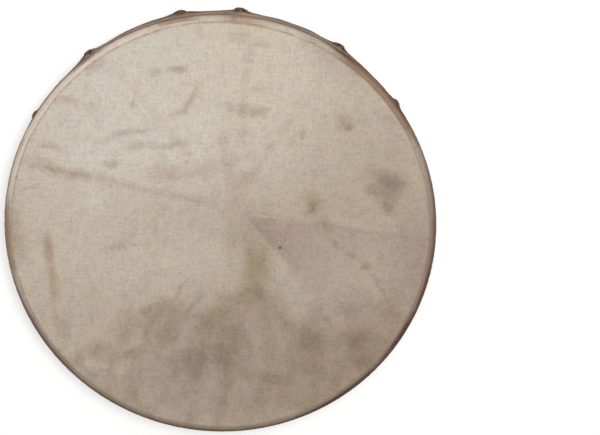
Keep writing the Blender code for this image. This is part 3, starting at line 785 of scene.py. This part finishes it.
# A dark band on the skirt just under the rolled edge: painted shade under the roll.
shade_under_roll = times(soft_step(radius, 0.1988, 0.2000),
    soft_step(height, HEAD_TOP - 0.0120, HEAD_TOP - 0.0050))
colour = lay(colour, shade_under_roll, 0.42, (62, 45, 34))
for hole in holes:
    near = vectors("DISTANCE", place, around(0.2015, hole, HOLE_HEIGHT + 0.002))
    near = soft_step(times_plus(ragged, 0.008, near), 0.0125, 0.0045)
    colour = lay(colour, near, 0.68, (74, 50, 36))
flesh_cloud = mottle(place, 15.0, 5.0, 0.6)
flesh_colour = blend(soft_step(flesh_cloud, 0.40, 0.66), (222, 211, 193), (196, 178, 160))
flesh_colour = lay(flesh_colour, soft_step(cloudy, 0.50, 0.72), 0.5, (176, 154, 138))
flesh_colour = lay(flesh_colour, soft_step(grain, 0.52, 0.72), 0.22, (160, 138, 120))
inside = put("ShaderNodeAttribute", attribute_name="flesh").outputs["Fac"]
colour = blend(inside, colour, flesh_colour)
end_material(colour, 0.72, 0.25, 0.30, 0.00035, times_plus(cloudy, 0.8, grain))

# Each hole is drawn out upwards by the tie's pull.
size = new_tree("punched hide", {"Hole": 0.0023, "Drawn": 1.7, "Radius": HEAD_OUT,
    "Height": HOLE_HEIGHT + 0.0022})
spots = bpy.data.meshes.new("hole spots")
spots.from_pydata([around(1.0, hole) for hole in holes], [], [])
spot_holder = bpy.data.objects.new("hole spots", spots)
outward = put("GeometryNodeInputPosition")
spot_place = vectors("MULTIPLY", outward, xyz(size["Radius"], size["Radius"]))
spot_place = vectors("ADD", spot_place, xyz(z=size["Height"]))
punches = put("GeometryNodeObjectInfo", {"Object": spot_holder}).outputs["Geometry"]
punches = put("GeometryNodeSetPosition", {"Geometry": punches, "Position": spot_place})
punch = put("GeometryNodeMeshCylinder", {"Vertices": 20, "Radius": size["Hole"], "Depth": 0.016})
lean = put("FunctionNodeAlignRotationToVector",
    {"Vector": vectors("MULTIPLY", outward, (1.0, 1.0, 0.0))}, axis="Z")
punches = put("GeometryNodeInstanceOnPoints",
    {"Points": punches, "Instance": punch, "Rotation": lean, "Scale": xyz(size["Drawn"], 1.0, 1.0)})
punches = put("GeometryNodeRealizeInstances", [punches])
punched = put("GeometryNodeMeshBoolean", {"Mesh 1": size["Geometry"], "Mesh 2": punches},
    operation="DIFFERENCE", solver="EXACT")
end_tree(punched, hide)
drumhead = grown("drum_head", hide_mesh)
bpy.data.objects.remove(spot_holder)
for polygon in drumhead.data.polygons:
    polygon.use_smooth = True
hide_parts("drumhead")
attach(drumhead, "root")

# The lacing: wet rawhide thong, wound on itself into eight forked ties and four long legs. It
# runs under the hoop's back edge, up its outside and through the holes in the hem, where it is
# knotted; it dried hard and pale, and went brown where hands and floors rubbed it.
WEB_HEIGHT = 0.0055
BUNDLE = 0.0082
LEG_AT_JUNCTION = 0.0062
LEG_AT_MIDDLE = 0.0056
THONG_HALF = 0.0021
FORK_KNOT = 0.0043
JUNCTION_KNOT = 0.0038
LEG_SET_IN = 0.003
MIDDLE_REACH = 0.0045
# For the ties in their order, each fork as (angle, share of radius), then the junction.
QUARTERS = {
    "lacing_northeast": (((46.0, 0.835), (88.1, 0.835)), (67.5, 0.515)),
    "lacing_northwest": (((137.6, 0.864), (176.8, 0.846)), (160.7, 0.515)),
    "lacing_southwest": (((231.3, 0.815), (266.0, 0.880)), (246.5, 0.520)),
    "lacing_southeast": (((317.0, 0.850), (358.0, 0.850)), (337.5, 0.515)),
}

thong, place, radius, turn, height = new_material("dried thong")
tone = put("ShaderNodeAttribute", attribute_name="tone").outputs["Fac"]
across = put("ShaderNodeAttribute", attribute_name="across").outputs["Fac"]
patchy = mottle(place, 130.0, 4.0, 0.6)
fine = mottle(place, 900.0, 3.0, 0.7)
colour = blend(tone, (228, 210, 178), (206, 168, 122))
colour = lay(colour, soft_step(patchy, 0.46, 0.68), 0.55, (196, 152, 108))
# The thong's edges are painted ochre: painted shade where the flat thong turns away from the light.
colour = lay(colour, soft_step(sums("ABSOLUTE", across), 0.55, 0.98), 0.50, (178, 134, 92))
colour = lay(colour, soft_step(fine, 0.54, 0.72), 0.30, (160, 118, 82))
spots = mottle(place, 240.0, 2.0, 0.5)
colour = lay(colour, soft_step(spots, 0.66, 0.72), 0.55, (104, 72, 50))
colour = lay(colour, soft_step(radius, HOOP_IN + 0.001, HOOP_OUT), 0.62, (164, 128, 94))
outside = times(soft_step(height, 0.0075, 0.0190), soft_step(radius, HOOP_IN, HOOP_OUT))
colour = lay(colour, outside, 0.86, (94, 66, 48))
knotted = times(soft_step(height, 0.0150, 0.0215), outside)
colour = lay(colour, knotted, 0.55, (50, 35, 27))
end_material(colour, 0.62, 0.35, 0.5, 0.0003, plus(fine, patchy))

# The tree that turns path lines into flat thongs, laid straight or wound round their line.
size = new_tree("rawhide thong", {"Step": 0.0007, "Pitch": 0.0058, "Winding half width": 0.0021,
    "Winding half thickness": 0.0008, "Raggedness": 0.22, "Waver": 0.0005})


def carried(name, kind="FLOAT"):
    """A value that the lines carry."""
    node = put("GeometryNodeInputNamedAttribute", {"Name": name}, data_type=kind)
    return node.outputs["Attribute"]


def stored(geometry, name, value, kind="FLOAT"):
    """Lines or thongs that carry one more value."""
    return put("GeometryNodeStoreNamedAttribute", {"Geometry": geometry, "Name": name, "Value": value},
        data_type=kind, domain="POINT")


def unit(vector):
    return vectors("NORMALIZE", vector)


lines = put("GeometryNodeMeshToCurve", [size["Geometry"]])
lines = put("GeometryNodeCurveSplineType", {"Curve": lines}, spline_type="CATMULL_ROM")
lines = put("GeometryNodeResampleCurve", {"Curve": lines, "Length": size["Step"]}, mode="LENGTH")
here = put("GeometryNodeInputPosition")
facing = unit(carried("facing", "FLOAT_VECTOR"))
side = unit(vectors("CROSS_PRODUCT", put("GeometryNodeInputTangent"), facing))
waver = xyz(size["Waver"], size["Waver"], times(size["Waver"], 0.4))
wavering = vectors("MULTIPLY", stray(here, 110.0, 1.0), waver)
lines = put("GeometryNodeSetPosition", {"Geometry": lines, "Offset": wavering})

wound = put("GeometryNodeSeparateGeometry", {"Geometry": lines,
    "Selection": sums("GREATER_THAN", carried("wound"), 0.5)}, domain="CURVE").outputs
run = put("GeometryNodeSplineParameter").outputs["Length"]
uneven = put("ShaderNodeTexNoise", {"W": times(run, 90.0), "Scale": 1.0}, noise_dimensions="1D")
turn = sums("DIVIDE", times_plus(uneven, 0.0035, run), size["Pitch"])
turn = plus(times(turn, math.tau, carried("hand")), carried("phase"))
swing, lift = sums("COSINE", turn), sums("SINE", turn)
off = vectors("ADD", scaled(side, times(swing, carried("half_wide"))),
    scaled(facing, times(lift, carried("half_thick"))))
outward = unit(vectors("ADD", scaled(side, swing), scaled(facing, lift)))
coiled = stored(wound["Selection"], "coil_facing", outward, "FLOAT_VECTOR")
coiled = put("GeometryNodeSetPosition", {"Geometry": coiled, "Offset": off})
coiled = stored(coiled, "facing", carried("coil_facing", "FLOAT_VECTOR"), "FLOAT_VECTOR")
coiled = put("GeometryNodeResampleCurve", {"Curve": coiled, "Length": times(size["Step"], 1.4)},
    mode="LENGTH")
coiled = stored(coiled, "half_wide", size["Winding half width"])
coiled = stored(coiled, "half_thick", size["Winding half thickness"])
lines = put("GeometryNodeJoinGeometry")
fill(lines.inputs[0], coiled)
fill(lines.inputs[0], wound["Inverted"])

lines = stored(lines, "middle", here, "FLOAT_VECTOR")
lines = stored(lines, "side", side, "FLOAT_VECTOR")
lines = put("GeometryNodeSetCurveNormal", {"Curve": lines}, mode="FREE")
fill(lines.inputs["Normal"], facing)
section = put("GeometryNodeCurvePrimitiveCircle", {"Resolution": 12, "Radius": 0.001})
thongs = put("GeometryNodeCurveToMesh", {"Curve": lines, "Profile Curve": section, "Fill Caps": True})
middle = carried("middle", "FLOAT_VECTOR")
side = carried("side", "FLOAT_VECTOR")
from_middle = unit(vectors("SUBTRACT", here, middle))
across = vectors("DOT_PRODUCT", from_middle, side)
above = vectors("DOT_PRODUCT", from_middle, facing)
flat_above = times(sums("POWER", sums("ABSOLUTE", above), 0.62), sums("SIGN", above))
frayed = put("ShaderNodeTexNoise", {"Vector": vectors("ADD", here, scaled(facing, carried("phase"))),
    "Scale": 330.0, "Detail": 3.0})
frayed = times_plus(times(minus(frayed, 0.5), size["Raggedness"]), 2.0, 1.0)
wide = times(across, carried("half_wide"), frayed)
place = vectors("ADD", middle, scaled(side, wide))
place = vectors("ADD", place, scaled(facing, times(flat_above, carried("half_thick"))))
thongs = stored(thongs, "across", across)
thongs = put("GeometryNodeSetPosition", {"Geometry": thongs, "Position": place})
thongs = put("GeometryNodeSetShadeSmooth", {"Geometry": thongs})
end_tree(thongs, thong)
chance = random.Random(41)


def path(stations, tone=0.4, wound=0.0, hand=1.0):
    """One thong's path: its stations, each as (point, facing, half width, half thickness), and
    what the whole thong carries."""
    return stations, (tone, wound, hand, chance.uniform(0.0, math.tau))


def lay_paths(name, paths):
    """Sweeps thongs along paths and returns them as one object."""
    spots, edges, rows = [], [], []
    for stations, carries in paths:
        edges.extend((len(spots) + step, len(spots) + step + 1) for step in range(len(stations) - 1))
        for point, *row in stations:
            spots.append(point)
            rows.append((*row, *carries))
    mesh = bpy.data.meshes.new(name)
    mesh.from_pydata(spots, edges, [])
    labels = ("facing", "half_wide", "half_thick", "tone", "wound", "hand", "phase")
    for label, values in zip(labels, zip(*rows)):
        kind, field = ("FLOAT_VECTOR", "vector") if label == "facing" else ("FLOAT", "value")
        data = mesh.attributes.new(label, kind, "POINT").data
        for spot, value in zip(data, values):
            setattr(spot, field, value)
    return grown(name, mesh)


def rounded_ends(stations):
    """Narrows the first and last stations of a path, so that its ends are blunt tips."""
    ended = list(stations)
    for end in (0, -1):
        point, facing, wide, thick = ended[end]
        ended[end] = (point, facing, wide * 0.45, thick * 0.45)
    return ended


def coil(middle, axis, wide, thick, turns, pitch, half_wide=0.0019, half_thick=0.0008, tone=0.4,
        start=0.0, facing=UP):
    """A flat thong wound round an axis, with its two ends tucked under."""
    axis = axis.normalized()
    side = axis.cross(facing).normalized()
    up = side.cross(axis).normalized()
    steps = max(int(turns * 14), 8)
    stations = []
    for step in range(steps + 1):
        share = step / steps
        angle = start + math.tau * turns * share
        tuck = min(1.0, min(share, 1.0 - share) * turns * 4.0)
        sink = 0.72 + 0.28 * tuck
        out = side * math.cos(angle) * wide + up * math.sin(angle) * thick
        along = axis * pitch * turns * (share - 0.5)
        level = (side * math.cos(angle) / wide + up * math.sin(angle) / thick).normalized()
        stations.append((middle + out * sink + along, level, half_wide, half_thick))
    return path(rounded_ends(stations), tone)


def crossing_point(edge_angle):
    """Where a pair of thongs crosses the middle of the hoop's back edge."""
    return around((HOOP_IN + HOOP_OUT) / 2, edge_angle, WEB_HEIGHT)


def tie_line(fork, edge_angle, hole_angle):
    """The middle line of a pair of thongs, from its fork to its hole in the hem."""
    crossing = crossing_point(edge_angle)
    heading = (crossing - fork).normalized()
    side = math.copysign(1.0, hole_angle - edge_angle)
    down = -UP

    def inside(radius, height):
        share = (radius - fork.xy.length) / (crossing.xy.length - fork.xy.length)
        spot = fork.lerp(crossing, share)
        return Vector((spot.x, spot.y, height))

    def outside(radius, height, gone, facing_up):
        degrees = edge_angle + side * gone
        facing = around(1.0, degrees) + UP * facing_up
        return around(radius, degrees, height), facing.normalized()

    bend = HOOP_IN - 0.0045
    way = abs(hole_angle - edge_angle)
    start = fork + heading * 0.0035
    stations = [
        (start, down, 1.00, 0.0026),
        (inside(start.xy.length * 0.6 + bend * 0.4, WEB_HEIGHT), down, 1.04, 0.0027),
        (inside(bend - 0.0015, WEB_HEIGHT * 0.78), down, 1.04, 0.0021),
        (inside(HOOP_IN - 0.0022, 0.00205), down, 0.98, 0.0012),
        (inside(HOOP_IN + 0.0010, 0.00112), down, 0.94, 0.00095),
        (around(HOOP_OUT - 0.0016, edge_angle + side * 0.13, 0.00108), down, 0.92, 0.00090),
        (*outside(HOOP_OUT + 0.0006, 0.00165, 0.30, -1.0), 0.92, 0.00085),
        (*outside(HOOP_OUT + 0.00125, 0.00420, 0.65, 0.0), 0.92, 0.00085),
        (*outside(HOOP_OUT + 0.00150, 0.0100, way * 0.56, 0.0), 0.94, 0.00085),
    ]
    for height, short in ((HEM_LOW - 0.0004, 0.30), (HEM_LOW + 0.0022, 0.0)):
        hem, arch = scallop(hole_angle % 360.0)
        stand = HEAD_OUT + pulled(hole_angle % 360.0, max(height, hem), hem, arch) + 0.0010
        stations.append((*outside(stand, height, way - short, 0.0), 0.90, 0.0009))
    stand = HEAD_OUT + pulled(hole_angle % 360.0, HOLE_HEIGHT, HEM_LOW, 0.0)
    stations.append((*outside(stand + 0.0013, HOLE_HEIGHT - 0.0002, way, 0.5), 0.80, 0.0010))
    stations.append((*outside(stand + 0.0002, HOLE_HEIGHT + 0.0019, way, 2.0), 0.62, 0.0010))
    stations.append((*outside(HIDE_IN + 0.0011, HOLE_HEIGHT + 0.0026, way, 9.0), 0.40, 0.0008))
    return stations


def tie_thongs(fork, edge_angle, hole_angle):
    """Two thongs that twist half a turn on each other, then lie side by side to the hem."""
    line = tie_line(fork, edge_angle, hole_angle)
    side = math.copysign(1.0, hole_angle - edge_angle)
    twist_by = (2.6, 1.7, 0.55, 0.10)
    paths = []
    for pick, tone in ((-1, chance.uniform(0.0, 0.3)), (1, chance.uniform(0.55, 1.0))):
        stations = []
        for index, (spot, facing, share, thick) in enumerate(line):
            before = line[max(index - 1, 0)][0]
            beyond = line[min(index + 1, len(line) - 1)][0]
            heading = (beyond - before).normalized()
            across = heading.cross(facing).normalized()
            twist = twist_by[index] * side if index < len(twist_by) else 0.0
            off = across * math.cos(twist) + facing * math.sin(twist) * 0.62
            lean = (facing * math.cos(twist * 0.5) + across * math.sin(twist * 0.5)).normalized()
            apart = THONG_HALF * 0.96 * share
            if index >= len(line) - 3:
                apart *= (0.72, 0.50, 0.35)[index - len(line) + 3]
            wide = THONG_HALF * share * chance.uniform(0.92, 1.10)
            stations.append((spot + off * pick * apart, lean, wide, thick))
        paths.append(path(stations, tone))
    return paths


def hem_knot(hole_angle, side):
    """A thong wound twice round the pair at its hole, with a short cut end."""
    angle = hole_angle % 360.0
    out = around(1.0, angle)
    stand = HEAD_OUT + pulled(angle, HOLE_HEIGHT, HEM_LOW, 0.0)
    middle = around(stand + 0.0001, angle, HOLE_HEIGHT - 0.0014)
    along = UP.cross(out)
    tone = chance.uniform(0.3, 0.9)
    tied = [coil(middle, UP + along * 0.35 * side, 0.0040, 0.0012, 1.9, 0.0019,
        0.00125, 0.0006, tone, chance.uniform(0, 6), out)]
    tied.append(coil(middle + out * 0.0004 + UP * 0.0012, along + UP * 0.4 * side, 0.0022, 0.0011,
        1.2, 0.0012, 0.00115, 0.0006, tone, chance.uniform(0, 6), out))
    tip = middle + out * 0.0005 - UP * 0.0006
    tied.append(path(rounded_ends([(tip, out, 0.0013, 0.0005),
        (tip + along * 0.0032 * side + out * 0.0004, out, 0.0013, 0.0005),
        (tip + along * 0.0072 * side - UP * 0.0018 - out * 0.0006, out, 0.0011, 0.0005)]), tone))
    return tied


def leg(start, stop, wide_start, wide_stop, tone, hand):
    """A leg of the web: a core of thong with another wound round it."""
    stations = []
    for step in range(6):
        share = step / 5
        half = (wide_start + (wide_stop - wide_start) * share) / 2
        waver = Vector((chance.uniform(-1, 1), chance.uniform(-1, 1), 0.0)) * 0.0004
        spot = start.lerp(stop, share) + (waver if 0 < step < 5 else Vector())
        stations.append((spot, UP, half, half * 0.92))
    core = [(spot, facing, wide * 0.84, thick * 0.84) for spot, facing, wide, thick in stations]
    turns = [(spot, facing, wide * 0.80, thick * 0.80) for spot, facing, wide, thick in stations]
    return [path(core, tone), path(turns, 1.0 - tone, 1.0, hand)]


def lump(middle, axis, half, length, tone):
    """The rounded body of a knot in the web."""
    axis = axis.normalized()
    stations = []
    for step in range(7):
        share = step / 3 - 1.0
        size = half * math.sqrt(max(1.0 - (share * 0.96) ** 2, 0.05))
        stations.append((middle + axis * share * length, UP, size, size * 0.95))
    return path(stations, tone)


def web_knot(middle, arms, half):
    """A knot in the web: its body, collars on its arms and turns across the middle."""
    tied = [lump(middle, arms[-1], half, half * 1.35, 0.3)]
    for arm in arms:
        tone = chance.uniform(0.0, 1.0)
        tied.append(coil(middle + arm * half * 1.05, arm, half * 0.90, half * 0.86, 1.7, 0.0026,
            0.0017, 0.0008, tone, chance.uniform(0, 6)))
    bisector = (arms[0] + arms[1]).normalized()
    for lean in (0.45, -0.5):
        axis = (bisector + bisector.cross(UP) * lean).normalized()
        tied.append(coil(middle, axis, half * 1.04, half * 0.99, 1.5, 0.0030, 0.0019, 0.0008,
            chance.uniform(0.0, 1.0), chance.uniform(0, 6)))
    return tied


ties_left = list(TIES)
for name, (forks, (junction_angle, junction_share)) in QUARTERS.items():
    junction = around(HEAD_OUT * junction_share, junction_angle, WEB_HEIGHT)
    inward = (UP * WEB_HEIGHT - junction).normalized()
    paths, junction_arms = [], []
    for fork_angle, fork_share in forks:
        edges, pair = ties_left.pop(0)
        fork = around(HEAD_OUT * fork_share, fork_angle, WEB_HEIGHT)
        to_junction = (junction - fork).normalized()
        fork_arms = [(crossing_point(edge) - fork).normalized() for edge in edges]
        for edge_angle, hole_angle, side in zip(edges, pair, (-1, 1)):
            paths += tie_thongs(fork, edge_angle, hole_angle)
            paths += hem_knot(hole_angle, side)
        paths += web_knot(fork, fork_arms + [to_junction], FORK_KNOT)
        paths += leg(fork + to_junction * LEG_SET_IN, junction, BUNDLE * 0.88, LEG_AT_JUNCTION,
            chance.uniform(0.1, 0.7), 1.0 if edges[0] < 100 else -1.0)
        junction_arms.append(-to_junction)
    paths += web_knot(junction, junction_arms + [inward], JUNCTION_KNOT)
    paths += leg(junction + inward * LEG_SET_IN, around(MIDDLE_REACH, junction_angle, WEB_HEIGHT),
        LEG_AT_JUNCTION, LEG_AT_MIDDLE, chance.uniform(0.1, 0.6), 1.0)
    quarter = lay_paths("web_" + name, paths)
    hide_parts(name)
    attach(quarter, "root")

# The middle of the web: the four legs are caught together by turns of thong, woven over and
# under them while wet and pulled down into one hard button.
LASHING_STEPS = 36
LASHING_TURNS = 1.12
WEAVE = 0.0009
# Each layer of turns as (height from the legs' middle, radii of its turns).
LAYERS = ((-0.0026, (0.0085, 0.0055)), (0.0, (0.0102, 0.0070)), (0.0026, (0.0088, 0.0050)))
paths = []
for layer, (level, radii) in enumerate(LAYERS):
    for number, turn_radius in enumerate(radii):
        stations = []
        for step in range(LASHING_STEPS + 1):
            angle = math.tau * step / LASHING_STEPS * LASHING_TURNS + layer * 1.3 + number * 2.1
            weave = WEAVE * math.cos(2.0 * (angle - math.radians(67.5))) * (1 - 2 * (layer % 2))
            spot = around(turn_radius, math.degrees(angle), WEB_HEIGHT + level + weave)
            facing = (around(1.0, math.degrees(angle)) + UP * level * 260.0).normalized()
            stations.append((spot, facing, 0.0019, 0.0013))
        paths.append(path(rounded_ends(stations), chance.uniform(0.0, 0.9)))
for degrees in (22.0, 112.0, 68.0):
    axis = around(1.0, degrees)
    paths.append(coil(UP * WEB_HEIGHT, axis, 0.0095, 0.0044, 1.1, 0.003, 0.0021, 0.0008,
        chance.uniform(0.0, 0.6), 0.4))
paths.append(lump(UP * WEB_HEIGHT, around(1.0, 30.0), 0.0046, 0.0080, 0.3))
lashing = lay_paths("middle_lashing", paths)
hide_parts("centre_lashing")
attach(lashing, "root")

# The stage: the drum lies on a plain pale floor, with soft light all round it and one wide soft
# light overhead. The camera looks down on the head, a metre away.
PHOTO_WIDTH, PHOTO_HEIGHT = 600, 435
HEAD_MIDDLE_PX = (220.55, 234.9)
PX_AT_ONE_METRE = 1083.0
TILT = math.radians(15.3)
CAMERA_DISTANCE = 1.0
floor_mesh = bpy.data.meshes.new("floor")
floor_shape = bmesh.new()
bmesh.ops.create_circle(floor_shape, cap_ends=True, radius=8.0, segments=96)
floor_shape.to_mesh(floor_mesh)
floor_shape.free()
floor = bpy.data.objects.new("floor", floor_mesh)
bpy.context.scene.collection.objects.link(floor)
floor_paint = bpy.data.materials.new("pale floor")
floor_paint.use_nodes = True
tree = floor_paint.node_tree
shader = tree.nodes["Principled BSDF"]
shader.inputs["Base Color"].default_value = (0.90, 0.90, 0.90, 1.0)
shader.inputs["Roughness"].default_value = 0.9
seen_from_below = put("ShaderNodeNewGeometry").outputs["Backfacing"]
one_sided = put("ShaderNodeMixShader", [seen_from_below, shader, put("ShaderNodeBsdfTransparent")])
fill(tree.nodes["Material Output"].inputs["Surface"], one_sided)
floor_mesh.materials.append(floor_paint)

lamp = bpy.data.lights.new("soft box", "AREA")
lamp.shape = "DISK"
lamp.size = 1.1
lamp.energy = 52.0
lamp_holder = bpy.data.objects.new("soft box", lamp)
lamp_holder.location = (0.14, 0.66, 2.3)
lamp_holder.rotation_euler = (-lamp_holder.location).to_track_quat("-Z", "Y").to_euler()
bpy.context.scene.collection.objects.link(lamp_holder)

sky = bpy.data.worlds.new("studio")
sky.use_nodes = True
sky.node_tree.nodes["Background"].inputs["Color"].default_value = (1.0, 1.0, 1.0, 1.0)
sky.node_tree.nodes["Background"].inputs["Strength"].default_value = 0.40
bpy.context.scene.world = sky
bpy.context.scene.view_settings.view_transform = "Standard"

camera_data = bpy.data.cameras.new("camera")
camera = bpy.data.objects.new("camera", camera_data)
bpy.context.scene.collection.objects.link(camera)
aim = Vector((0.0, 0.0, head_high.z))
camera.location = aim + Vector((0.0, math.sin(TILT), math.cos(TILT))) * CAMERA_DISTANCE
camera.rotation_euler = (-TILT, 0.0, 0.0)
camera_data.sensor_width = 36.0
camera_data.lens = camera_data.sensor_width * PX_AT_ONE_METRE / PHOTO_WIDTH
camera_data.shift_x = (PHOTO_WIDTH / 2 - HEAD_MIDDLE_PX[0]) / PHOTO_WIDTH
camera_data.shift_y = (HEAD_MIDDLE_PX[1] - PHOTO_HEIGHT / 2) / PHOTO_WIDTH
bpy.context.scene.camera = camera
